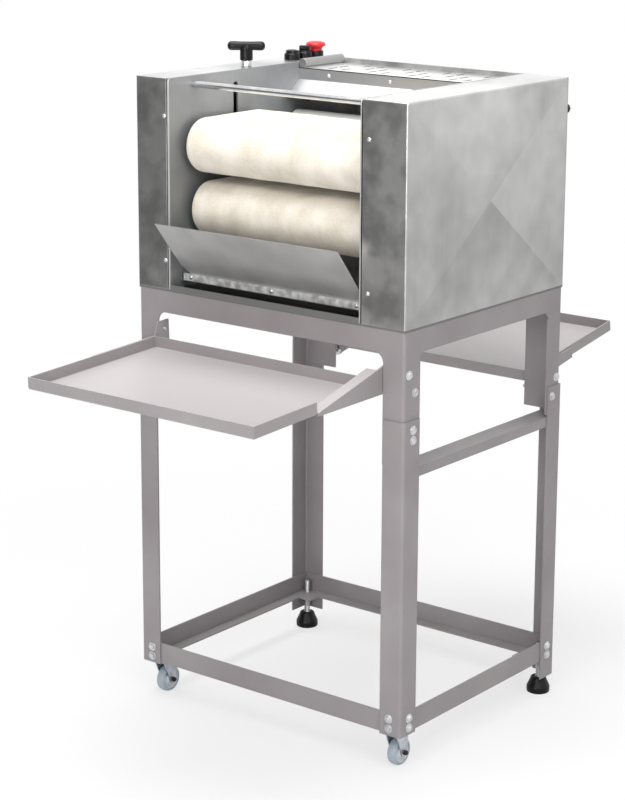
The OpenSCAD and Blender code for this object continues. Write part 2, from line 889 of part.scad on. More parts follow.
module lower_rear_roller() {
    color(alloy) {
        roller(lower_back_y, lower_z, roller_r, drum_l, drum_r, end_l, shaft_end);
        sprocket(chain_x, lower_back_y, lower_z);
        sprocket(chain_x + chain_step, lower_back_y, lower_z);
        grooved_pulley(pulley_x, lower_back_y, lower_z, drive_pulley_r);
    }
}

module sheet_front_roller() {
    color(nylon) roller(sheet_front_y, sheet_z, sheet_r, left_x + sheet_side, right_x - sheet_side,
        end_l, end_r);
}

module sheet_rear_roller() {
    color(nylon) {
        roller(sheet_back_y, sheet_z, sheet_r, left_x + sheet_side, right_x - sheet_side,
            left_x - plate_t - block_w, chain_x + chain_step + chain_w + shaft_out);
        sprocket(chain_x + chain_step, sheet_back_y, sheet_z);
    }
}

// Arm of the right sliding block, clear of the chain round the back sheeting roller
arm_y = sheet_back_y + sprocket_r + chain_t + 8;
arm_w = 10;

// Sliding blocks that carry the back sheeting roller; the right one reaches to the adjuster
module gap_blocks() {
    x_l = left_x - plate_t - gap - block_w;
    x_r = right_x + plate_t + gap;
    y0 = sheet_back_y - block_half;
    z0 = sheet_z - block_half;
    height = 2 * block_half;
    beyond = 8;
    color(dark_steel) difference() {
        union() {
            translate([x_l, y0, z0]) cube([block_w, height, height]);
            translate([x_r, y0, z0]) cube([block_w, arm_y + arm_w - y0, height]);
            translate([x_r, arm_y, z0]) cube([adjust_x + beyond - x_r, arm_w, height]);
            translate([adjust_x - beyond, arm_y, z0])
                cube([2 * beyond, arm_w, adjust_z + beyond - z0]);
        }
        bar_x(x_l - 1, x_l + block_w + 1, sheet_back_y, sheet_z, shaft_r + run);
        bar_x(x_r - 1, x_r + block_w + 1, sheet_back_y, sheet_z, shaft_r + run);
        translate([adjust_x, arm_y - 1, adjust_z]) rotate([-90, 0, 0])
            cylinder(h = arm_w + 2, r = adjust_r + run);
    }
}

module gap_knob() {
    rosette_r = 17;
    rosette_t = 4;
    grip_r = 10;
    grip_l = 18;
    nose = 8;
    rod_y = arm_y - arm_w;
    color(black) translate([adjust_x, hd + gap, adjust_z]) rotate([-90, 0, 0]) {
        translate([0, 0, rod_y - hd]) cylinder(h = hd - rod_y + rosette_t, r = adjust_r);
        cylinder(h = rosette_t, r = rosette_r);
        translate([0, 0, rosette_t]) cylinder(h = grip_l, r1 = grip_r - 1, r2 = grip_r);
        translate([0, 0, rosette_t + grip_l]) cylinder(h = nose, r1 = grip_r, r2 = grip_r - 3);
    }
}

module scrapers() {
    blade = 3;
    height = 20;
    color(stainless) for (y = [sheet_front_y, sheet_back_y - blade])
        translate([left_x, y, sheet_z - sheet_r - gap - height]) cube([bay_w, blade, height]);
}

module bearings() {
    color(dark_steel) for (x = [left_x - plate_t - ring_w, right_x + plate_t],
            p = [[lower_front_y, lower_z], [lower_back_y, lower_z], [sheet_front_y, sheet_z]])
        difference() {
            bar_x(x, x + ring_w, p[0], p[1], ring_r);
            bar_x(x - 1, x + ring_w + 1, p[0], p[1], shaft_r + run);
        }
}

// Drive

module motor() {
    fins = 16;
    fin_w = 3;
    fin_h = 4;
    cap = 24;
    pad_l = 18;
    pad_in = 3;
    pad_half = 38;
    pad_h = motor_foot + 16;
    color("#5d6166") {
        difference() {
            bar_x(motor_x - motor_l, motor_x, motor_y, motor_z, motor_r);
            for (k = [0 : fins - 1])
                translate([motor_x - motor_l + cap, motor_y, motor_z]) rotate([k * 360 / fins, 0, 0])
                    translate([0, motor_r - fin_h, -fin_w / 2])
                        cube([motor_l - 2 * cap, 2 * fin_h, fin_w]);
        }
        for (x = [motor_x - motor_l + pad_in, motor_x - pad_in - pad_l])
            translate([x, motor_y - pad_half, floor_z]) cube([pad_l, 2 * pad_half, pad_h]);
    }
}

module motor_pulley() {
    color(alloy) {
        bar_x(motor_x + gap, shaft_end, motor_y, motor_z, motor_shaft_r);
        grooved_pulley(pulley_x, motor_y, motor_z, motor_pulley_r);
    }
}

// Endless loop round two wheels, drawn in (y, z)
module loop_2d(p, rp, q, rq, t) {
    difference() {
        hull() {
            translate(p) circle(rp + t);
            translate(q) circle(rq + t);
        }
        hull() {
            translate(p) circle(rp);
            translate(q) circle(rq);
        }
    }
}

module v_belt() {
    x0 = pulley_x + v_in + gap;
    color(black) along_x(x0, pulley_w - 2 * (v_in + gap))
        loop_2d([lower_back_y, lower_z], drive_pulley_r - v_depth + gap,
            [motor_y, motor_z], motor_pulley_r - v_depth + gap, v_depth);
}

module drive_chains() {
    r = sprocket_r + gap;
    lift = max(lift_up, lift_down);
    driver = [lower_back_y, lower_z];
    color(dark_steel) {
        along_x(chain_x, chain_w)
            loop_2d(driver, r, [upper_back_y, upper_z], r + lift, chain_t);
        along_x(chain_x + chain_step, chain_w)
            loop_2d(driver, r, [sheet_back_y, sheet_z], r + gap_travel, chain_t);
    }
}

// Controls

module handle_screw() {
    stud_h = 12;
    neck_h = 22;
    collar_r = 10;
    seat_z = top_z + gap;
    neck_z = seat_z + stud_h;
    bar_z = neck_z + neck_h + handle_r / 2;
    screw_z = upper_z - lift_half - lift_up - lift_down;
    half = handle_l / 2 - handle_r;
    color(black) translate([screw_x, screw_y, 0]) {
        translate([0, 0, screw_z]) cylinder(h = neck_z - screw_z, r = screw_r);
        translate([0, 0, seat_z]) cylinder(h = stud_h, r = collar_r);
        translate([0, 0, neck_z]) cylinder(h = neck_h, r1 = collar_r + 2, r2 = collar_r + 1);
        translate([0, 0, bar_z]) rotate([0, 90, handle_turn]) {
            translate([0, 0, -half]) cylinder(h = 2 * half, r = handle_r);
            for (z = [-half, half])
                translate([0, 0, z]) sphere(handle_r);
        }
    }
}

base_h = 12;
base_wall = 4;

module switch_bases() {
    color(black) for (y = [start_y, select_y, stop_y])
        translate([panel_x, y, top_z]) difference() {
            cylinder(h = base_h, r = button_r + base_wall);
            translate([0, 0, -1]) cylinder(h = base_h + 2, r = button_r + gap);
        }
}

// Plunger below a button: guided by the hole in the cover
module plunger(y) {
    below = 25;
    translate([panel_x, y, top_z - below]) cylinder(h = below + button_travel + 2, r = stem_hole);
}

module start_button() {
    proud = 2;
    color(black) {
        plunger(start_y);
        translate([panel_x, start_y, top_z + button_travel + 1])
            cylinder(h = base_h + proud, r = button_r);
    }
}

module selector_knob() {
    grip = [20, 8, 10];
    grip_turn = 35;
    proud = 3;
    color(black) {
        plunger(select_y);
        translate([panel_x, select_y, top_z + gap]) cylinder(h = base_h + proud, r = button_r);
        translate([panel_x, select_y, top_z + base_h + proud + grip[2] / 2 - 1]) rotate([0, 0, grip_turn])
            cube(grip, center = true);
    }
}

module stop_button() {
    cap_z = base_h + 5;
    edge = 3;
    cap_top = cap_z + 9;
    z0 = top_z + button_travel + 1;
    color("#d72832") {
        plunger(stop_y);
        translate([panel_x, stop_y, z0]) rotate_extrude()
            polygon([[0, 0], [button_r, 0], [button_r, base_h], [stop_r - edge, cap_z],
                [stop_r, cap_z + 1], [stop_r, cap_top - edge - 2], [stop_r - edge, cap_top - 2],
                [0, cap_top]]);
    }
}

front_frame();
back_frame();
top_rail_left();
top_rail_right();
lower_leg_fl();
lower_leg_fr();
lower_leg_bl();
lower_leg_br();
mid_rail();
base_rail_front();
base_rail_back();
base_rail_left();
base_rail_right();
corner_brackets();
stand_bolts();
caster_fork_left();
caster_wheel_left();
caster_fork_right();
caster_wheel_right();
foot_left();
foot_right();
front_tray();
front_tray_arms();
back_tray();
back_tray_arms();
base_plate();
left_frame_plate();
right_frame_plate();
left_cover();
right_cover();
back_panel();
rear_cover();
front_rod();
exit_flap();
flap_bar();
flap_strip();
housing_screws();
upper_arms();
upper_belt();
lift_bracket();
upper_front_roller();
upper_rear_roller();
lower_belt();
lower_front_roller();
lower_rear_roller();
sheet_front_roller();
sheet_rear_roller();
gap_blocks();
gap_knob();
scrapers();
bearings();
motor();
motor_pulley();
v_belt();
drive_chains();
handle_screw();
switch_bases();
start_button();
selector_knob();
stop_button();
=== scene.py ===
import math

import bmesh
import bpy
from mathutils import Matrix, Vector, noise


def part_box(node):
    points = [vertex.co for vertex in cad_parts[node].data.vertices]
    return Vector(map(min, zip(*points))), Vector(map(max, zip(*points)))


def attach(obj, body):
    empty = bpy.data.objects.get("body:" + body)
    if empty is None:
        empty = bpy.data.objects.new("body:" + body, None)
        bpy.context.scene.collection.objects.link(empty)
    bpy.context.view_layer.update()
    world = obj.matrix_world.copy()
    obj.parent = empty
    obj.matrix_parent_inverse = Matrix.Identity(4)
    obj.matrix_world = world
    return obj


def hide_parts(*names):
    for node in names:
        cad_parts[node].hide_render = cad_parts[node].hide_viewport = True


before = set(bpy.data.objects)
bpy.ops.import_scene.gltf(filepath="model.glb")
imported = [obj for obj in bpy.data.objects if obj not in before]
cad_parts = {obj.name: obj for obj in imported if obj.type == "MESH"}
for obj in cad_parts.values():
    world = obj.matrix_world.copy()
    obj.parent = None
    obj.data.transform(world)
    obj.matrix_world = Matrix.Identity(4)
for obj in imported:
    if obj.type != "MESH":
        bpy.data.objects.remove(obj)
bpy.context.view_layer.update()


# Camera: a long lens a little above the belts, to the right of the front, as the photo was taken.
# Angles in degrees and distance in metres, from the point 0.7 m above the middle of the floor.
azimuth, elevation, roll = (math.radians(angle) for angle in (37.369, 13.171, 0.458))
distance, looked_at = 4.060822, Vector((0, 0, 0.7))
level_part = math.cos(elevation)
back = Vector((math.sin(azimuth) * level_part, -math.cos(azimuth) * level_part, math.sin(elevation)))
right = Vector((math.cos(azimuth), math.sin(azimuth), 0.0))
up = back.cross(right)
across = math.cos(roll) * right + math.sin(roll) * up
upright = math.cos(roll) * up - math.sin(roll) * right
eye = bpy.data.cameras.new("camera")
eye.lens, eye.shift_x, eye.shift_y, eye.clip_end = 99.266, -0.04842, -0.08189, 60.0
camera = bpy.data.objects.new("camera", eye)
turned_view = Matrix((across, upright, back)).transposed().to_4x4()
camera.matrix_world = Matrix.Translation(looked_at + back * distance) @ turned_view
bpy.context.scene.collection.objects.link(camera)
bpy.context.scene.camera = camera
bpy.context.scene.view_settings.view_transform = "Standard"


# Room: a pale studio floor, a white surround and three soft lamps. A grey flag to the left of the
# front and a white card behind are what the bright metal that faces them reflects. The floor keeps
# the object's shadow.
def lin(code):
    """Linear colour of an sRGB hex code."""
    values = [int(code[i:i + 2], 16) / 255 for i in (1, 3, 5)]
    return tuple(v / 12.92 if v <= 0.04045 else ((v + 0.055) / 1.055) ** 2.4 for v in values) + (1.0,)


def add(tree, kind, inputs, stops=(), **settings):
    """Adds a shader node with its settings, a ramp's two stops, and its inputs as values or links."""
    made = tree.nodes.new("ShaderNode" + kind)
    for name, value in settings.items():
        setattr(made, name, value)
    for index, (position, code) in enumerate(stops):
        made.color_ramp.elements[index].position = position
        made.color_ramp.elements[index].color = lin(code)
    for key, value in inputs.items():
        if isinstance(value, bpy.types.NodeSocket):
            tree.links.new(value, made.inputs[key])
        else:
            made.inputs[key].default_value = value
    return made


def surface(name):
    """New material: itself, its node tree, its shader and the object's own coordinates."""
    material = bpy.data.materials.new(name)
    material.use_nodes = True
    tree = material.node_tree
    return material, tree, tree.nodes["Principled BSDF"], add(tree, "TexCoord", {}).outputs["Object"]


def flat_in_room(name, half_sizes, matrix, material):
    """Flat sheet that is part of the room and not of the machine."""
    bm = bmesh.new()
    bmesh.ops.create_grid(bm, x_segments=1, y_segments=1, size=1.0)
    bmesh.ops.scale(bm, vec=(*half_sizes, 1.0), verts=bm.verts)
    bmesh.ops.transform(bm, matrix=matrix, verts=bm.verts)
    mesh = bpy.data.meshes.new(name)
    bm.to_mesh(mesh)
    bm.free()
    mesh.materials.append(material)
    made = bpy.data.objects.new(name, mesh)
    bpy.context.scene.collection.objects.link(made)
    return made


floor_paint, tree, shader, place = surface("matt_floor")
cloud = add(tree, "TexNoise", {"Vector": place, "Scale": 1.5})
tone = add(tree, "ValToRGB", {"Fac": cloud.outputs[0]}, [(0.0, "#f2f2f2"), (1.0, "#f6f6f6")])
tree.links.new(tone.outputs[0], shader.inputs["Base Color"])
shader.inputs["Roughness"].default_value = 0.9
glow = add(tree, "Emission", {"Color": (1, 1, 1, 1), "Strength": 1.0})
seen = add(tree, "LightPath", {})
far = add(tree, "VectorMath", {0: place}, operation="LENGTH")
fade = add(tree, "MapRange", {"Value": far.outputs["Value"], "From Min": 0.5, "From Max": 1.7,
                              "To Min": 0.62, "To Max": 1.0}, interpolation_type="SMOOTHSTEP")
share = add(tree, "Math", {0: seen.outputs["Is Camera Ray"], 1: fade.outputs[0]}, operation="MULTIPLY")
mixed = add(tree, "MixShader", {0: share.outputs[0], 1: shader.outputs[0], 2: glow.outputs[0]})
tree.links.new(mixed.outputs[0], tree.nodes["Material Output"].inputs["Surface"])
flat_in_room("floor", (9.0, 9.0), Matrix.Identity(4), floor_paint)

flag_cloth, tree, shader, place = surface("grey_flag_cloth")
cloud = add(tree, "TexNoise", {"Vector": place, "Scale": 1.6, "Detail": 2.0})
tone = add(tree, "ValToRGB", {"Fac": cloud.outputs[0]}, [(0.38, "#262626"), (0.62, "#8c8c8c")])
tree.links.new(tone.outputs[0], shader.inputs["Base Color"])
shader.inputs["Roughness"].default_value = 1.0

card_light, tree, shader, place = surface("white_card_light")
cloud = add(tree, "TexNoise", {"Vector": place, "Scale": 0.8})
tone = add(tree, "ValToRGB", {"Fac": cloud.outputs[0]}, [(0.0, "#f4f4f4"), (1.0, "#ffffff")])
glow = add(tree, "Emission", {"Color": tone.outputs[0], "Strength": 1.3})
tree.links.new(glow.outputs[0], tree.nodes["Material Output"].inputs["Surface"])

for name, half_sizes, spot, turn, material in [
    ("flag", (1.5, 1.2), (-1.55, -2.2, 0.95), -37, flag_cloth),
    ("card", (2.4, 1.3), (-2.5, 3.3, 2.55), 37, card_light),
]:
    stood_up = Matrix.Rotation(math.radians(turn), 4, "Z") @ Matrix.Rotation(math.radians(90), 4, "X")
    screen = flat_in_room(name, half_sizes, Matrix.Translation(spot) @ stood_up, material)
    screen.visible_camera = screen.visible_diffuse = screen.visible_shadow = False

world = bpy.data.worlds.new("white_surround")
world.use_nodes = True
bpy.context.scene.world = world
tree = world.node_tree
seen = add(tree, "LightPath", {})
first = add(tree, "Math", {0: seen.outputs["Is Camera Ray"], 1: seen.outputs["Is Glossy Ray"]},
            operation="MAXIMUM")
any_ray = add(tree, "Math", {0: first.outputs[0], 1: seen.outputs["Is Transmission Ray"]},
              operation="MAXIMUM")
power = add(tree, "MapRange", {"Value": any_ray.outputs[0], "To Min": 0.5, "To Max": 1.0})
tree.links.new(power.outputs[0], tree.nodes["Background"].inputs["Strength"])
tree.nodes["Background"].inputs["Color"].default_value = (1, 1, 1, 1)

for name, spot, target, size, watts in [
    ("key", (2.1, -1.5, 2.6), (0, 0, 0.7), 1.8, 42.0),
    ("top", (-0.2, -0.3, 3.3), (0, 0, 0.7), 2.0, 67.0),
    ("front", (0.7, -3.4, 1.1), (0, 0, 0.75), 1.4, 37.0),
]:
    lamp = bpy.data.lights.new(name, "AREA")
    lamp.shape, lamp.size, lamp.energy = "DISK", size, watts
    holder = bpy.data.objects.new(name, lamp)
    holder.location = spot
    holder.rotation_euler = (Vector(target) - Vector(spot)).to_track_quat("-Z", "Y").to_euler()
    bpy.context.scene.collection.objects.link(holder)


# Stand: folded steel angles bolted together, powder coated in a warm grey. The coat gives a soft
# sheen with a fine orange peel, about 2 mm across, and rounds the edges; where it lies level a paler
# colour is painted on as a painted highlight.
def dress(material, *nodes):
    """Gives CAD nodes their material."""
    for node in nodes:
        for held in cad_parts[node].material_slots:
            held.material = material


def powder_coat(name, dark, light, level=None):
    """Painted steel between two colours, and with a third, paler one where it lies level, which is a painted
    highlight.
    """
    material, tree, shader, place = surface(name)
    cloud = add(tree, "TexNoise", {"Vector": place, "Scale": 7.0, "Detail": 5.0})
    tone = add(tree, "ValToRGB", {"Fac": cloud.outputs[0]}, [(0.3, dark), (0.7, light)])
    colour = tone.outputs[0]
    # Painted highlight: faces that look up get the paler level colour.
    if level:
        facing = add(tree, "SeparateXYZ", {0: add(tree, "TexCoord", {}).outputs["Normal"]})
        lies = add(tree, "Math", {0: facing.outputs["Z"], 1: 0.7}, operation="GREATER_THAN")
        painted_highlight = add(tree, "Mix", {"Factor": lies.outputs[0], 6: colour, 7: lin(level)}, data_type="RGBA")
        colour = painted_highlight.outputs[2]
    tree.links.new(colour, shader.inputs["Base Color"])
    peel = add(tree, "TexNoise", {"Vector": place, "Scale": 480.0, "Detail": 2.0})
    edge = add(tree, "Bevel", {"Radius": 0.0016}, samples=4)
    bump = add(tree, "Bump", {"Strength": 0.25, "Distance": 0.0004, "Height": peel.outputs[0],
                              "Normal": edge.outputs[0]})
    tree.links.new(bump.outputs[0], shader.inputs["Normal"])
    rough = add(tree, "MapRange", {"Value": peel.outputs[0], "To Min": 0.38, "To Max": 0.5})
    tree.links.new(rough.outputs[0], shader.inputs["Roughness"])
    return material


stand_coat = powder_coat("powder_coated_steel", "#847e80", "#908b8c", level="#9a9697")
dress(stand_coat, "front_frame", "back_frame", "top_rail_left", "top_rail_right", "lower_leg_fl",
      "lower_leg_fr", "lower_leg_bl", "lower_leg_br", "mid_rail", "base_rail_front", "base_rail_back",
      "base_rail_left", "base_rail_right", "corner_brackets")


# Bolts and tray pins of the stand: zinc-plated six-sided heads on washers, screwed in from outside,
# and plain pins, at the back on lugs, that the tray arms swing on. The plating gives a clouded grey.
def metal(name, dark, light, rough, cloud_size=40.0, shine=1.0):
    """Metal with clouds of a size in 1/m between two colours; shine is lower for a dull skin."""
    material, tree, shader, place = surface(name)
    cloud = add(tree, "TexNoise", {"Vector": place, "Scale": cloud_size, "Detail": 4.0})
    tone = add(tree, "ValToRGB", {"Fac": cloud.outputs[0]}, [(0.35, dark), (0.65, light)])
    tree.links.new(tone.outputs[0], shader.inputs["Base Color"])
    shader.inputs["Metallic"].default_value = shine
    spread = add(tree, "MapRange", {"Value": cloud.outputs[0], "To Min": rough - 0.06,
                                    "To Max": rough + 0.08})
    tree.links.new(spread.outputs[0], shader.inputs["Roughness"])
    edge = add(tree, "Bevel", {"Radius": 0.0006}, samples=4)
    tree.links.new(edge.outputs[0], shader.inputs["Normal"])
    return material


def piece(name, bm, materials, body, node, sharp=35.0):
    """Mesh object made of a bmesh, riding with a body in place of a CAD node."""
    bmesh.ops.remove_doubles(bm, verts=bm.verts, dist=1e-6)
    bmesh.ops.recalc_face_normals(bm, faces=bm.faces)
    mesh = bpy.data.meshes.new(name)
    bm.to_mesh(mesh)
    bm.free()
    for material in materials:
        mesh.materials.append(material)
    for face in mesh.polygons:
        face.use_smooth = True
    mesh.set_sharp_from_angle(angle=math.radians(sharp))
    made = bpy.data.objects.new(name, mesh)
    bpy.context.scene.collection.objects.link(made)
    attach(made, body)
    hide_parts(node)


def turned(bm, outline, matrix, steps=32, material=0):
    """Turned part: an outline of (radius, height) spun once about z, then placed."""
    points = [bm.verts.new((r, 0.0, z)) for r, z in outline]
    lines = [bm.edges.new(pair) for pair in zip(points, points[1:])]
    had = set(bm.faces)
    before = set(bm.verts) - set(points)
    bmesh.ops.spin(bm, geom=points + lines, cent=(0, 0, 0), axis=(0, 0, 1), dvec=(0, 0, 0),
                   angle=math.tau, steps=steps, use_merge=True)
    bmesh.ops.remove_doubles(bm, verts=[v for v in bm.verts if v not in before], dist=1e-6)
    bmesh.ops.transform(bm, matrix=matrix, verts=[v for v in bm.verts if v not in before])
    for face in bm.faces:
        if face not in had:
            face.material_index = material


def aim(spot, along):
    """Places a part so that its z axis points along a direction."""
    return Matrix.Translation(spot) @ Vector(along).to_track_quat("Z", "Y").to_matrix().to_4x4()


def edges_of(bm, verts):
    """Edges between vertices of a shape just made, in the order of the mesh."""
    own = set(verts)
    return [e for e in bm.edges if e.verts[0] in own and e.verts[1] in own]


def block(bm, middle, sizes, turn=0.0):
    """Box of three sizes about its middle, turned about the vertical; gives its edges."""
    placed = Matrix.Translation(middle) @ Matrix.Rotation(turn, 4, "Z") @ Matrix.Diagonal((*sizes, 1))
    return edges_of(bm, bmesh.ops.create_cube(bm, size=1.0, matrix=placed)["verts"])


def rounded(bm, edges, radius, segments):
    """Rounds edges and gives the faces that this makes."""
    return bmesh.ops.bevel(bm, geom=edges, offset=radius, segments=segments, profile=0.5, affect="EDGES",
                           material=-1)["faces"]


def hex_bolt(bm, spot, along):
    """Six-sided head with a rounded top, on a washer."""
    washer_r, washer_t, head_r, head_h, head_lift = 0.0083, 0.0011, 0.0065, 0.0032, 0.0024
    turned(bm, [(0, washer_t), (0.0078, washer_t), (washer_r, 0.0007), (washer_r, 0), (0, 0)],
           aim(spot, along), 24)
    made = bmesh.ops.create_cone(bm, cap_ends=True, segments=6, radius1=head_r, radius2=head_r,
                                 depth=head_h)["verts"]
    top = [e for e in edges_of(bm, made) if all(v.co.z > 0 for v in e.verts)]
    cut = rounded(bm, top, 0.0009, 2)
    head = {v for f in cut for v in f.verts} | {v for v in made if v.is_valid}
    bmesh.ops.transform(bm, matrix=aim(spot, along) @ Matrix.Translation((0, 0, head_lift)), verts=list(head))


zinc = metal("zinc_plate", "#c4c5c8", "#dcdcde", 0.3)
leg_x, leg_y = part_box("lower_leg_br")[1].xy
frame_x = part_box("back_frame")[1].x
bolt_in, base_bolt_z, joint_bolt_z = 0.0255, (0.080, 0.098), (0.619, 0.601)
front_pins, back_pins = [(-0.232, 0.716), (-0.215, 0.683)], [(0.258, 0.622), (0.250, 0.589)]
lug_t, lug_round_y = 0.003, 0.26
bm = bmesh.new()
for s in (-1, 1):
    for z in joint_bolt_z:
        hex_bolt(bm, (s * leg_x, bolt_in - leg_y, z), (s, 0, 0))
    for t in (-1, 1):
        for z in base_bolt_z:
            hex_bolt(bm, (s * leg_x, t * (leg_y - bolt_in), z), (s, 0, 0))
            hex_bolt(bm, (s * (leg_x - bolt_in), t * leg_y, z), (0, t, 0))
    for y, z in front_pins + [(0.232, 0.622)]:
        hex_bolt(bm, (s * frame_x, y, z), (s, 0, 0))
    hex_bolt(bm, (s * leg_x, 0.215, 0.589), (s, 0, 0))
    for pins, inner_x, length in [(front_pins, 0.249, 0.048), (back_pins, 0.219, 0.0075)]:
        for y, z in pins:
            turned(bm, [(0, 0), (0.0034, 0), (0.004, 0.0006), (0.004, length), (0, length)],
                   aim((s * inner_x, y, z), (s, 0, 0)), 24)
    lug_edges = block(bm, (s * 0.2275, 0.2565, 0.6055), (lug_t, 0.023, 0.053))
    corners = [e for e in lug_edges
               if abs(e.verts[0].co.x - e.verts[1].co.x) > lug_t / 2 and e.verts[0].co.y > lug_round_y]
    rounded(bm, corners, 0.006, 4)
piece("bolts_and_pins", bm, [zinc], "stand", "stand_bolts", 30.0)


# Casters under the front legs: pressed, zinc-plated forks on a ball race, each with a grey rubber
# tyre on a paler moulded core. The fork shines in bluish clouds and its blackened axle is dull; the
# tyre and the core are matt with a fine moulded grain, drawn 4 mm across so that it shows.
def rubber(name, dark, light, rough, gloss=0.5):
    """Rubber or moulded plastic with a grain between two colours; gloss is lower for a deep black."""
    material, tree, shader, place = surface(name)
    grain = add(tree, "TexNoise", {"Vector": place, "Scale": 260.0, "Detail": 3.0})
    tone = add(tree, "ValToRGB", {"Fac": grain.outputs[0]}, [(0.0, dark), (1.0, light)])
    tree.links.new(tone.outputs[0], shader.inputs["Base Color"])
    bump = add(tree, "Bump", {"Strength": 0.3, "Distance": 0.0003, "Height": grain.outputs[0]})
    tree.links.new(bump.outputs[0], shader.inputs["Normal"])
    shader.inputs["Roughness"].default_value = rough
    shader.inputs["Specular IOR Level"].default_value = gloss
    return material


def middle_of(node):
    """Middle of a CAD node's box."""
    low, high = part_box(node)
    return (low + high) / 2


def axis_of(node):
    """Place on the floor below a CAD node's middle."""
    return Matrix.Translation((*middle_of(node).xy, 0))


def mirrored(half, middle=()):
    """Outline of (radius, height) from one end to the middle, followed by its mirror image."""
    return [*half, *middle, *((r, -h) for r, h in reversed(half))]


tyre = rubber("grey_rubber_tyre", "#929ca6", "#a6b0ba", 0.55)
core = rubber("grey_nylon_core", "#c2c8cc", "#cdd2d5", 0.4)
fork_zinc = metal("zinc_pressing", "#acb2ba", "#d0d5dc", 0.3)
axle_steel = metal("blackened_axle", "#2c2826", "#46403c", 0.4)
wheel_r, eye_r, crown_z = 0.025, 0.0085, 0.0627
cheek_t, cheek_low_x, cheek_high_x, trail = 0.0025, -0.013, 0.0105, 0.008
tyre_half = [(0.0192, 0.0088), (0.0215, 0.0088), (0.0235, 0.0076), (0.0247, 0.0052)]
core_half = [(0.0041, 0.009), (0.009, 0.009), (0.0104, 0.0082), (0.0118, 0.005), (0.0165, 0.005),
             (0.018, 0.0066), (0.0193, 0.0078)]
eye_arc = [math.radians(20 - 20 * k) for k in range(12)]
cheek = [(-0.0155, crown_z), (-0.0125, 0.0655), (0.0160, 0.0655), (0.0190, crown_z), (0.0174, 0.040)]
cheek += [(trail + eye_r * math.cos(a), wheel_r + eye_r * math.sin(a)) for a in eye_arc]
cheek += [(-0.0036, 0.034)]
for side in ("left", "right"):
    wheel_x, wheel_y = middle_of("caster_wheel_" + side).xy
    hub = aim((wheel_x, wheel_y, wheel_r), (1, 0, 0))
    bm = bmesh.new()
    turned(bm, mirrored(tyre_half, [(wheel_r, 0)]) + tyre_half[:1], hub, 48)
    turned(bm, mirrored(core_half) + core_half[:1], hub, 48, 1)
    piece("caster_wheel_" + side + "_tyre", bm, [tyre, core], "wheel_" + side, "caster_wheel_" + side,
          40.0)

    swivel_x, swivel_y = middle_of("caster_fork_" + side).xy
    swivel = axis_of("caster_fork_" + side)
    bm = bmesh.new()
    turned(bm, [(0, 0.0697), (0.019, 0.0697), (0.019, 0.0682), (0.0176, 0.0664), (0.0184, 0.0648),
                (0.0172, crown_z), (0, crown_z)], swivel, 48)
    turned(bm, [(0, 0.0827), (0.0048, 0.0827), (0.0055, 0.082), (0.0055, 0.0690), (0, 0.0690)], swivel, 24)
    for x in (cheek_low_x, cheek_high_x):
        face = bm.faces.new([bm.verts.new((swivel_x + x, swivel_y + y, z)) for y, z in cheek])
        out = bmesh.ops.extrude_face_region(bm, geom=[face])["geom"]
        far_side = [v for v in out if isinstance(v, bmesh.types.BMVert)]
        bmesh.ops.translate(bm, vec=(cheek_t, 0, 0), verts=far_side)
    rounded(bm, block(bm, (swivel_x, swivel_y + 0.002, crown_z), (0.026, 0.033, 0.0034)), 0.001, 2)
    for t in (-1, 1):
        turned(bm, [(0, 0.0052), (0.0036, 0.0052), (0.0044, 0.0044), (0.0046, 0.0), (0.0046, -0.014),
                    (0, -0.014)], aim((wheel_x - t * cheek_low_x, wheel_y, wheel_r), (t, 0, 0)), 24, 1)
    piece("caster_fork_" + side + "_pressing", bm, [fork_zinc, axle_steel], "caster_" + side,
          "caster_fork_" + side, 30.0)


# Levelling feet under the back legs: moulded cones of glass-filled nylon on threaded steel studs with
# a lock nut below the bracket, 44 mm across and 30 mm high. The nylon is black with a soft shine.
def thread(root_r, crest_r, first, fall, pitch, turns):
    """Outline of a thread: crests from a first height on, each with a root that lies a fall above."""
    crests = [first + k * pitch for k in range(turns)]
    return [point for z in crests for point in ((crest_r, z), (root_r, z + fall))]


black_nylon = rubber("black_moulded_nylon", "#08080a", "#131315", 0.33, 0.26)
foot_h, stud_r, stud_end, nut_r, nut_h, nut_z = 0.030, 0.0052, 0.098, 0.009, 0.006, 0.0667
for side in ("left", "right"):
    node = "foot_" + side
    bm = bmesh.new()
    turned(bm, [(0, 0), (0.0200, 0), (0.0214, 0.0008), (0.022, 0.0022), (0.022, 0.0105), (0.0217, 0.0122),
                (0.0208, 0.0140), (0.0164, 0.0235), (0.0152, 0.0264), (0.0146, 0.0288), (0.0134, foot_h),
                (0, foot_h)], axis_of(node), 48)
    stud = [(0, 0.029), (stud_r, 0.029), *thread(stud_r, 0.0058, 0.0295, 0.001, 0.0019, 36)]
    turned(bm, stud + [(0.0046, 0.0979), (0, stud_end)], axis_of(node), 24, 1)
    nut = bmesh.ops.create_cone(bm, cap_ends=True, segments=6, radius1=nut_r, radius2=nut_r, depth=nut_h,
                                matrix=axis_of(node) @ Matrix.Translation((0, 0, nut_z)))["verts"]
    for face in {f for v in nut for f in v.link_faces}:
        face.material_index = 1
    piece("foot_" + side + "_cone", bm, [black_nylon, zinc], node, node, 38.0)


# Trays: shallow pans of 2 mm sheet with folded rims, carried on tapered arms that swing on the pins
# behind the legs. Powder coated as the stand, with a pale painted highlight where it faces up.
tray_coat = powder_coat("powder_coated_tray", "#8e898a", "#989394", level="#b2adae")
dress(tray_coat, "front_tray_arms", "back_tray_arms")


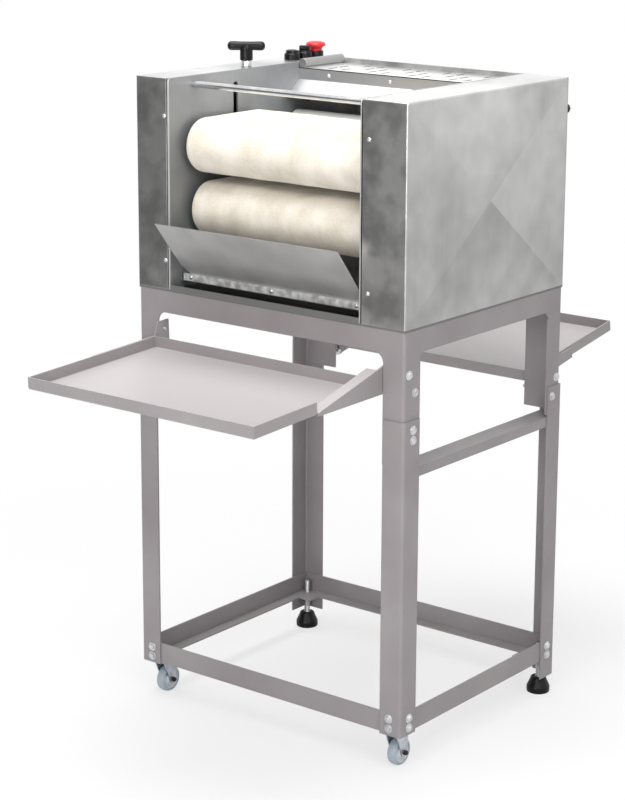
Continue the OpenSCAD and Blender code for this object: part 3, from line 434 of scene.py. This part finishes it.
def folded_tray(node, half, depth, right_run, place):
    """Pan with rims folded up all round, on the right side only as far as right_run from its front."""
    sheet, rim, bend = 0.002, 0.020, 0.003
    bm = bmesh.new()
    block(bm, (0, -depth / 2, (rim - sheet) / 2), (2 * half, depth, rim + sheet))
    bmesh.ops.delete(bm, geom=[f for f in bm.faces if f.normal.z > 0.5], context="FACES")
    if right_run < depth:
        cut_y = right_run - depth
        wall = next(f for f in bm.faces if f.normal.x > 0.5)
        bmesh.ops.bisect_plane(bm, geom=[wall, *wall.edges, *wall.verts], plane_co=(0, cut_y, 0),
                               plane_no=(0, 1, 0))
        rear = [f for f in bm.faces if f.normal.x > 0.5 and f.calc_center_median().y > cut_y]
        bmesh.ops.delete(bm, geom=rear, context="FACES")
    low_z = min(v.co.z for v in bm.verts)
    bends = [e for e in bm.edges if len(e.link_faces) == 2 and all(v.co.z < low_z + 1e-5 for v in e.verts)]
    rounded(bm, bends, bend, 4)
    bmesh.ops.recalc_face_normals(bm, faces=bm.faces)
    bmesh.ops.solidify(bm, geom=bm.faces[:], thickness=sheet)
    bmesh.ops.transform(bm, matrix=place, verts=bm.verts)
    piece(node + "_pan", bm, [tray_coat], node, node, 30.0)


def swung(pin, degrees):
    """Place at a tray's pin (y, z), tilted about it."""
    return Matrix.Translation((0, *pin)) @ Matrix.Rotation(math.radians(degrees), 4, "X")


pan_drop, turned_round = 0.028, Matrix.Rotation(math.pi, 4, "Z")
folded_tray("front_tray", 0.251, 0.321, 0.1605,
            swung(front_pins[0], 2.5) @ Matrix.Translation((0, -0.027, -pan_drop)))
folded_tray("back_tray", 0.221, 0.297, 0.297,
            swung(back_pins[0], 9) @ Matrix.Translation((0, 0.002, -pan_drop)) @ turned_round)


# Housing: covers of 2 mm brushed stainless sheet over two frame plates on a base plate. The brushing
# runs up the sides and back over the tops, drawn 2 mm apart so that it shows, with soft clouds, and
# faces to the front are darkened by painted shade in mottled patches. The frame plates and the flap are
# ground dull, and boxes of painted shade and painted highlight lie on the slots, gaps, rims and edges;
# under the flap the base plate is painted near black, as painted shade.
def in_box(tree, place, low, high):
    """One inside the box between two corners, and nought outside it."""
    middle, half = (Vector(low) + Vector(high)) / 2, (Vector(high) - Vector(low)) / 2
    off = add(tree, "VectorMath", {0: place, 1: middle}, operation="SUBTRACT")
    off = add(tree, "VectorMath", {0: off.outputs[0]}, operation="ABSOLUTE")
    room = add(tree, "VectorMath", {0: half, 1: off.outputs[0]}, operation="SUBTRACT")
    spare = add(tree, "SeparateXYZ", {0: room.outputs[0]})
    least = add(tree, "Math", {0: spare.outputs["X"], 1: spare.outputs["Y"]}, operation="MINIMUM")
    least = add(tree, "Math", {0: least.outputs[0], 1: spare.outputs["Z"]}, operation="MINIMUM")
    return add(tree, "Math", {0: least.outputs[0], 1: 0.0}, operation="GREATER_THAN").outputs[0]


def cross_break(tree, place, colour, middle, half):
    """Paints light and shade on the four flats of a panel by its middle (y, z) and half sizes: painted shade
    on the one below and a painted highlight on the one at the back, most so near the middle. Gives the
    colour, and how far out a point lies."""
    side = add(tree, "Mapping", {"Vector": place, "Location": (0, -middle[0] / half[0], -middle[1] / half[1]),
                                 "Scale": (1, 1 / half[0], 1 / half[1])})
    parts = add(tree, "SeparateXYZ", {0: side.outputs[0]})
    wide = add(tree, "Math", {0: parts.outputs["Y"]}, operation="ABSOLUTE")
    tall = add(tree, "Math", {0: parts.outputs["Z"]}, operation="ABSOLUTE")
    out = add(tree, "Math", {0: wide.outputs[0], 1: tall.outputs[0]}, operation="MAXIMUM")
    fade = add(tree, "MapRange", {"Value": out.outputs[0], "From Min": 0.15, "To Min": 1.0, "To Max": 0.25})
    drop = add(tree, "Math", {0: wide.outputs[0], 1: parts.outputs["Z"]}, operation="ADD")
    below = add(tree, "Math", {0: drop.outputs[0], 1: 0.0}, operation="LESS_THAN")
    fall = add(tree, "MapRange", {"Value": parts.outputs["Y"], "From Min": -0.9, "From Max": 0.9,
                                  "To Min": 0.36, "To Max": 0.14})
    fall = add(tree, "Math", {0: fall.outputs[0], 1: fade.outputs[0]}, operation="MULTIPLY")
    shade = add(tree, "Math", {0: below.outputs[0], 1: fall.outputs[0]}, operation="MULTIPLY")
    lower = add(tree, "Mix", {"Factor": shade.outputs[0], 6: colour, 7: lin("#9a9a99")}, data_type="RGBA")
    rear = add(tree, "Math", {0: parts.outputs["Y"], 1: tall.outputs[0]}, operation="GREATER_THAN")
    light = add(tree, "Math", {0: rear.outputs[0], 1: fade.outputs[0]}, operation="MULTIPLY")
    light = add(tree, "Math", {0: light.outputs[0], 1: 0.3}, operation="MULTIPLY")
    painted_highlight = add(tree, "Mix", {"Factor": light.outputs[0], 6: lower.outputs[2], 7: lin("#f4f4f3")},
                data_type="RGBA")
    return painted_highlight.outputs[2], out.outputs[0]


def brushed(name, dark, light, rough, creased=None, zones=(), shine=1.0, front_shade=0.6):
    """Brushed sheet; creased is the middle and half sizes (y, z) of a cross-broken panel, whose four flats
    get painted shade and painted light, zones are boxes by two corners painted in a colour of their own
    as painted shade or painted highlight, shine is lower where it is ground dull, and the last argument
    is the most that painted shade, in mottled patches, darkens faces to the front."""
    material, tree, shader, place = surface(name)
    cloud = add(tree, "TexNoise", {"Vector": place, "Scale": 5.0, "Detail": 3.0, "Roughness": 0.55})
    tall = add(tree, "Mapping", {"Vector": place, "Scale": (420, 420, 5)})
    deep = add(tree, "Mapping", {"Vector": place, "Scale": (420, 5, 420)})
    tall_grain = add(tree, "TexNoise", {"Vector": tall.outputs[0], "Scale": 1.0, "Detail": 2.0})
    deep_grain = add(tree, "TexNoise", {"Vector": deep.outputs[0], "Scale": 1.0, "Detail": 2.0})
    facing = add(tree, "SeparateXYZ", {0: add(tree, "TexCoord", {}).outputs["Normal"]})
    level = add(tree, "Math", {0: facing.outputs["Z"]}, operation="ABSOLUTE")
    flat = add(tree, "Math", {0: level.outputs[0], 1: 0.7}, operation="GREATER_THAN")
    grain = add(tree, "MapRange", {"Value": flat.outputs[0], "To Min": tall_grain.outputs[0],
                                   "To Max": deep_grain.outputs[0]})
    both = add(tree, "Math", {0: grain.outputs[0], 1: 0.07, 2: cloud.outputs[0]}, operation="MULTIPLY_ADD")
    tone = add(tree, "ValToRGB", {"Fac": both.outputs[0]}, [(0.40, dark), (0.70, light)])
    # Painted shade: faces to the front are darkened in mottled patches.
    mottle = add(tree, "TexNoise", {"Vector": place, "Scale": 13.0, "Detail": 3.0, "Roughness": 0.6})
    forward = add(tree, "Math", {0: facing.outputs["Y"], 1: -0.7}, operation="LESS_THAN")
    front_shade_share = add(tree, "MapRange", {"Value": mottle.outputs[0], "From Min": 0.42, "From Max": 0.62,
                                   "To Min": 0.0, "To Max": front_shade})
    front_shade_share = add(tree, "Math", {0: front_shade_share.outputs[0], 1: forward.outputs[0]}, operation="MULTIPLY")
    darker = add(tree, "Mix", {"Factor": front_shade_share.outputs[0], 6: tone.outputs[0], 7: lin("#7c7c7b")},
                 data_type="RGBA")
    colour = darker.outputs[2]
    for low, high, tint in zones:
        inside = in_box(tree, place, low, high)
        colour = add(tree, "Mix", {"Factor": inside, 6: colour, 7: lin(tint)}, data_type="RGBA").outputs[2]
    edge = add(tree, "Bevel", {"Radius": 0.0018}, samples=4)
    bump = add(tree, "Bump", {"Strength": 0.06, "Distance": 0.0003, "Height": grain.outputs[0],
                              "Normal": edge.outputs[0]})
    if creased:
        colour, out = cross_break(tree, place, colour, *creased)
        bump = add(tree, "Bump", {"Strength": 1.0, "Distance": 0.002, "Height": out,
                                  "Normal": bump.outputs[0]}, invert=True)
    tree.links.new(colour, shader.inputs["Base Color"])
    tree.links.new(bump.outputs[0], shader.inputs["Normal"])
    spread = add(tree, "MapRange", {"Value": both.outputs[0], "From Min": 0.4, "From Max": 0.9,
                                    "To Min": rough + 0.08, "To Max": rough - 0.06})
    tree.links.new(spread.outputs[0], shader.inputs["Roughness"])
    shader.inputs["Metallic"].default_value = shine
    return material


stainless = brushed("brushed_stainless", "#adadac", "#d8d8d7", 0.3)
dress(stainless, "left_cover")
even = brushed("brushed_stainless_even", "#b6b6b5", "#cacac9", 0.32)
dress(even, "back_panel")

# Rear cover: its sheet is painted paler than the other covers, near white, as painted light on its top.
# Painted shade: near black on the slot walls, a darker grey on the rolled edge and a mid grey on the front
# flange, which faces the front.
slot_wall_shade = ((-1, -1, 1.1631), (1, 1, 1.1649), "#121212")
rolled_edge_shade = ((-0.226, 0.1, 1.1651), (-0.206, 0.3, 1.2), "#aeaead")
front_flange_shade = ((-1, 0.1, 1.1425), (1, 0.1265, 1.1629), "#c6c7c8")
slotted = brushed("brushed_stainless_slotted", "#dcdcdb", "#f4f4f3", 0.32,
                  zones=[slot_wall_shade, rolled_edge_shade, front_flange_shade], front_shade=0.05)
dress(slotted, "rear_cover")

# Frame plates: ground dull, and painted darker than the covers as painted shade inside the housing. Their
# front edges get a paler painted highlight, and a black strip beside each column is painted shade in the gap
# between column and plate.
front_edge_highlight = ((-1, -0.246, 0.7), (1, -0.2425, 1.2), "#c4c4c3")
left_seam_shade = ((-0.2291, -0.246, 0.7), (-0.2277, -0.2425, 1.2), "#141414")
right_seam_shade = ((0.2057, -0.246, 0.7), (0.2071, -0.2425, 1.2), "#141414")
inner = brushed("dull_frame_plate", "#8a8c8e", "#a6a8aa", 0.5, zones=[front_edge_highlight, left_seam_shade, right_seam_shade],
                shine=0.7)
dress(inner, "left_frame_plate", "right_frame_plate")

# Base plate: a pale, dull ground is painted light under the lower belt, a near black box under the flap is
# painted shade in the gap there, and its rims are painted dark grey as painted shade.
gap_shade_under_flap = ((-0.225, -0.2425, 0.7), (0.203, -0.155, 0.9), "#141413")
left_rim_shade = ((-0.301, -1, 0.7), (-0.299, 1, 0.9), "#6e6e6d")
right_rim_shade = ((0.299, -1, 0.7), (0.301, 1, 0.9), "#6e6e6d")
front_rim_shade = ((-1, -0.246, 0.7), (1, -0.2425, 0.9), "#6e6e6d")
pan = brushed("base_plate_painted_light_and_shade", "#cacac8", "#dededc", 0.5, zones=[gap_shade_under_flap, left_rim_shade, right_rim_shade, front_rim_shade],
              shine=0.2)
dress(pan, "base_plate")
flap = brushed("satin_flap", "#a4a4a3", "#c4c4c3", 0.4, shine=0.6, front_shade=0.1)
dress(flap, "exit_flap")


# Right cover: one sheet folded over the front, the side and the top, 2 mm thick, with bends of 2.5 mm.
# Its side is cross-broken to stiffen it: the middle stands 2 mm proud, so its four flats catch the
# light apart; its material adds painted shade on the lower flat and a painted highlight on the rear one.
panel = brushed("brushed_stainless_panel", "#b4b4b3", "#e6e6e5", 0.3, creased=((0.0, 0.982), (0.245, 0.19)))
sheet, bend, proud = 0.002, 0.0025, 0.002
low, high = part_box("right_cover")
bm = bmesh.new()
block(bm, (low + high) / 2, high - low)
open_sides = [f for f in bm.faces if f.normal.x < -0.5 or f.normal.y > 0.5 or f.normal.z < -0.5]
bmesh.ops.delete(bm, geom=open_sides, context="FACES")
rounded(bm, [e for e in bm.edges if len(e.link_faces) == 2], bend, 6)
side = max(bm.faces, key=lambda f: f.normal.x * f.calc_area())
outline = list(side.verts)
middle = bm.verts.new(side.calc_center_median() + Vector((proud, 0, 0)))
bm.faces.remove(side)
for one, two in zip(outline, outline[1:] + outline[:1]):
    bm.faces.new((one, two, middle))
bmesh.ops.recalc_face_normals(bm, faces=bm.faces)
bmesh.ops.solidify(bm, geom=bm.faces[:], thickness=sheet)
piece("right_cover_folded", bm, [panel], "stand", "right_cover", 0.3)


# Bars and brackets of the housing: mill steel for what sits inside, dull grey; a galvanised strip that
# clamps the flap, with pale spangles 15 mm across; a polished rod across the front, almost a mirror.
dark_steel = metal("mill_steel", "#6e7072", "#8c8e90", 0.42)
dress(dark_steel, "flap_bar", "upper_arms", "lift_bracket", "gap_blocks", "scrapers", "drive_chains",
      "motor_pulley")
# Its pale, half-metallic ground is partly painted light that lifts it out of the flap's shade; the spangles
# are its own.
galvanised = metal("galvanised_strip", "#b0b0ae", "#f0f0ee", 0.35, 70.0, 0.45)
dress(galvanised, "flap_strip")
polished = metal("polished_bar", "#d2d3d4", "#e4e4e5", 0.16)
dress(polished, "front_rod")


# Housing screws: zinc-plated pan heads with a recess, four in the columns, three in the flap's strip
# and three in the rear cover's front edge. Heads 8 mm across and 2.3 mm high.
def pan_screw(bm, spot):
    """Domed head that faces the front."""
    turned(bm, [(0, 0.0012), (0.0008, 0.0012), (0.0011, 0.0023), (0.0022, 0.0021), (0.0033, 0.0015),
                (0.0039, 0.0007), (0.004, 0), (0, 0)], aim(spot, (0, -1, 0)), 24)


column_y, strip_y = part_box("left_cover")[0].y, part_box("flap_strip")[0].y
strip_x, strip_reach, strip_z = middle_of("flap_strip").x, 0.188, 0.816
cover_low, cover_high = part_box("rear_cover")
flange_y, flange_z, flange_screws = 0.125, 1.153, 3
bm = bmesh.new()
for x in (-0.235, 0.221):
    for z in (0.847, 1.108):
        pan_screw(bm, (x, column_y, z))
for t in (-1, 0, 1):
    pan_screw(bm, (strip_x + t * strip_reach, strip_y, strip_z))
for k in range(flange_screws):
    x = cover_low.x + (cover_high.x - cover_low.x) * (k + 0.5) / flange_screws
    pan_screw(bm, (x, flange_y, flange_z))
piece("pan_head_screws", bm, [zinc], "stand", "housing_screws", 30.0)


# Felt belts: endless loops of woven wool felt, 6 mm thick, stretched over two rollers each. The nap
# gives a matt ivory with fine fibres, drawn 4 mm long so that they show, and faint darker patches.
felt, tree, shader, place = surface("wool_felt")
patch = add(tree, "TexNoise", {"Vector": place, "Scale": 20.0, "Detail": 4.0})
long_fibre = add(tree, "Mapping", {"Vector": place, "Scale": (240, 640, 640)})
fibre = add(tree, "TexNoise", {"Vector": long_fibre.outputs[0], "Scale": 1.0, "Detail": 4.0,
                               "Roughness": 0.7})
both = add(tree, "Math", {0: fibre.outputs[0], 1: 0.6, 2: patch.outputs[0]}, operation="MULTIPLY_ADD")
run_lines = add(tree, "Mapping", {"Vector": place, "Scale": (75, 5, 5)})
streak = add(tree, "TexNoise", {"Vector": run_lines.outputs[0], "Scale": 1.0, "Detail": 3.0})
both = add(tree, "Math", {0: streak.outputs[0], 1: 0.12, 2: both.outputs[0]}, operation="MULTIPLY_ADD")
tone = add(tree, "ValToRGB", {"Fac": both.outputs[0]}, [(0.62, "#cfc6b4"), (1.0, "#ebe4d8")])
tree.links.new(tone.outputs[0], shader.inputs["Base Color"])
shader.inputs["Roughness"].default_value = 0.95
shader.inputs["Sheen Weight"].default_value = 0.35
shader.inputs["Specular IOR Level"].default_value = 0.15
nap = add(tree, "Bump", {"Strength": 0.5, "Distance": 0.0006, "Height": fibre.outputs[0]})
tree.links.new(nap.outputs[0], shader.inputs["Normal"])


def felt_loop(name, node, body):
    """Loop of felt in a node's box: its section swept round the front, below, round the back and above,
    with soft edges and small dents."""
    inner_r, outer_r, lip, soft, flats = 0.0443, 0.050, 0.005, 0.010, 40
    low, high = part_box(node)
    left, right_end, z = low.x, high.x, (low.z + high.z) / 2
    front, rear = low.y + outer_r, high.y - outer_r
    arc = [(soft * (1 - math.cos(a)), outer_r - lip + lip * math.sin(a))
           for a in (math.pi / 12 * k for k in range(7))]
    flat = right_end - left - 2 * soft
    section = [(left, inner_r), *((left + x, r) for x, r in arc)]
    section += [(left + soft + flat * k / flats, outer_r) for k in range(1, flats)]
    section += [*((right_end - x, r) for x, r in reversed(arc)), (right_end, inner_r)]
    bm = bmesh.new()
    points = [bm.verts.new((x, front, z + r)) for x, r in section]
    sweep = points + [bm.edges.new(pair) for pair in zip(points, points[1:] + points[:1])]
    round_steps, straight_steps = 36, 16
    step = (rear - front) / straight_steps
    for centre, turn, shift, count in [
        ((0, front, z), math.pi, 0.0, round_steps),
        ((0, 0, 0), 0.0, step, straight_steps),
        ((0, rear, z), math.pi, 0.0, round_steps),
        ((0, 0, 0), 0.0, -step, straight_steps),
    ]:
        made = bmesh.ops.spin(bm, geom=sweep, cent=centre, axis=(1, 0, 0), dvec=(0, shift, 0), angle=turn,
                              steps=count)
        sweep = made["geom_last"]
    bmesh.ops.remove_doubles(bm, verts=bm.verts, dist=2e-5)
    bmesh.ops.recalc_face_normals(bm, faces=bm.faces)
    for v in bm.verts:
        v.co += v.normal * min(0.0, 0.0008 * noise.noise(v.co * 22) - 0.0003)
    piece(name, bm, [felt], body, node, 60.0)


felt_loop("upper_felt_belt", "upper_belt", "upper_carriage")
felt_loop("lower_felt_belt", "lower_belt", "stand")


# Rollers and drive, seen between the plates: turned aluminium belt rollers with a satin shine, white
# nylon sheeting rollers and bearings, the cast motor in a grey coat and its matt black rubber belt.
alloy = metal("turned_aluminium", "#b8babc", "#cfd1d3", 0.3)
dress(alloy, "upper_front_roller", "upper_rear_roller", "lower_front_roller", "lower_rear_roller")
white_nylon = rubber("white_nylon", "#eeeeea", "#f6f6f3", 0.4)
dress(white_nylon, "sheet_front_roller", "sheet_rear_roller", "bearings")
motor_paint = powder_coat("cast_motor_paint", "#6f7479", "#7c8186")
dress(motor_paint, "motor")
belt_rubber = rubber("black_belt_rubber", "#1c1c1d", "#262627", 0.7)
dress(belt_rubber, "v_belt")


# T handle on the left column: a moulded black bar over a steel collar and screw that lifts the upper
# belt. The bar is 70 mm long, 17 mm thick and turned 36 degrees; the screw is 12 mm thick.
screw_low, screw_high, screw_r = 1.020, 1.176, 0.0054
collar_low, collar_high, collar_r, bar_z = 1.1753, 1.1873, 0.010, 1.21355
axis = axis_of("handle_screw")
bm = bmesh.new()
screw = [(0, screw_low), (screw_r, screw_low), *thread(screw_r, 0.006, 1.0210, 0.0013, 0.0027, 55)]
turned(bm, screw + [(screw_r, screw_high), (0, screw_high)], axis, 24, 1)
turned(bm, [(0, collar_low), (0.0092, collar_low), (collar_r, 1.1760), (collar_r, 1.1862),
            (0.0092, collar_high), (0, collar_high)], axis, 32, 1)
turned(bm, [(0, collar_high), (0.0112, collar_high), (0.012, 1.1882), (0.012, 1.1925), (0.0119, 1.1990),
            (0.0119, 1.2040), (0.0121, 1.2075), (0.0124, 1.2110), (0.0100, 1.2160), (0, 1.2160)], axis)
grip_half = [(0, -0.035), (0.0034, -0.0346), (0.0062, -0.0331), (0.0078, -0.0308), (0.0085, -0.0275),
             (0.0084, -0.020), (0.0080, -0.010)]
bar_turn = Matrix.Rotation(math.radians(36), 4, "Z") @ Matrix.Rotation(math.radians(90), 4, "Y")
turned(bm, mirrored(grip_half), axis @ Matrix.Translation((0, 0, bar_z)) @ bar_turn)
piece("t_handle", bm, [black_nylon, zinc], "lift_handle", "handle_screw", 40.0)


# Switches on the left column's top: black bezels with a push button, a turning selector and the red
# mushroom of the emergency stop. Moulded ABS, glossier than the nylon.
black_abs = rubber("black_abs", "#08080a", "#111114", 0.28, 0.28)
red_abs = rubber("red_abs", "#cf1f2a", "#de2f38", 0.3)
stem_low, stem_r, cap_r, bezel_low, bezel_r, bore_r = 1.150, 0.006, 0.012, 1.175, 0.015, 0.0123
start_axis, selector_axis, stop_axis = (axis_of(n) for n in ("start_button", "selector_knob", "stop_button"))
bm = bmesh.new()
for axis in (start_axis, selector_axis, stop_axis):
    turned(bm, [(bore_r, bezel_low), (bezel_r, bezel_low), (bezel_r, 1.1842), (0.0144, 1.1860),
                (0.0132, 1.187), (bore_r, 1.1866), (bore_r, bezel_low)], axis, 40)
piece("switch_bezels", bm, [black_abs], "stand", "switch_bases")

bm = bmesh.new()
turned(bm, [(0, stem_low), (stem_r, stem_low), (stem_r, 1.179), (cap_r, 1.179), (cap_r, 1.1912),
            (0.0113, 1.1926), (0.0098, 1.193), (0.0088, 1.1922), (0, 1.1918)], start_axis, 40)
piece("start_push", bm, [black_abs], "start_button", "start_button")

bm = bmesh.new()
turned(bm, [(0, stem_low), (stem_r, stem_low), (stem_r, 1.1755), (cap_r, 1.1755), (cap_r, 1.1888),
            (0.0112, 1.190), (0, 1.190)], selector_axis, 40)
ridge_at = selector_axis @ Vector((0, 0, 1.194))
rounded(bm, block(bm, ridge_at, (0.020, 0.008, 0.010), math.radians(35)), 0.002, 3)
piece("selector_grip", bm, [black_abs], "selector", "selector_knob")

bm = bmesh.new()
turned(bm, [(0, stem_low), (stem_r, stem_low), (stem_r, 1.179), (cap_r, 1.179), (cap_r, 1.1905),
            (0.0150, 1.1942), (0.0182, 1.1960), (0.019, 1.1972), (0.019, 1.1990), (0.0184, 1.2008),
            (0.0168, 1.2024), (0.0110, 1.2042), (0, 1.205)], stop_axis, 48)
piece("stop_mushroom", bm, [red_abs], "stop_button", "stop_button")


# Knob at the back of the right column: a lobed knob of black nylon with a round flange, moulded on the
# screw that sets the gap of the sheeting rollers. It stands 30 mm out and has eight shallow lobes.
rod_r, rod_end, flange_r, knob_h, lobes, lobe_depth = 0.004, -0.099, 0.017, 0.030, 8, 0.06
bm = bmesh.new()
turned(bm, [(0, rod_end), (rod_r, rod_end), (rod_r, 0.0), (0.0162, 0.0), (flange_r, 0.0008),
            (flange_r, 0.0030), (0.0160, 0.004), (0.0092, 0.0044), (0.0092, 0.010), (0.010, 0.0215),
            (0.0098, 0.0240), (0.0086, 0.0280), (0.0066, 0.0298), (0, knob_h)], Matrix.Identity(4), 48)
for v in bm.verts:
    if v.co.z > 0.0045:
        angle = math.atan2(v.co.y, v.co.x)
        v.co.xy *= 1 - lobe_depth * (1 - math.cos(lobes * angle)) / 2
middle, back_y = middle_of("gap_knob"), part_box("gap_knob")[1].y
bmesh.ops.transform(bm, matrix=aim((middle.x, back_y - knob_h, middle.z), (0, 1, 0)), verts=bm.verts)
piece("gap_knob_lobed", bm, [black_nylon], "gap_knob", "gap_knob")
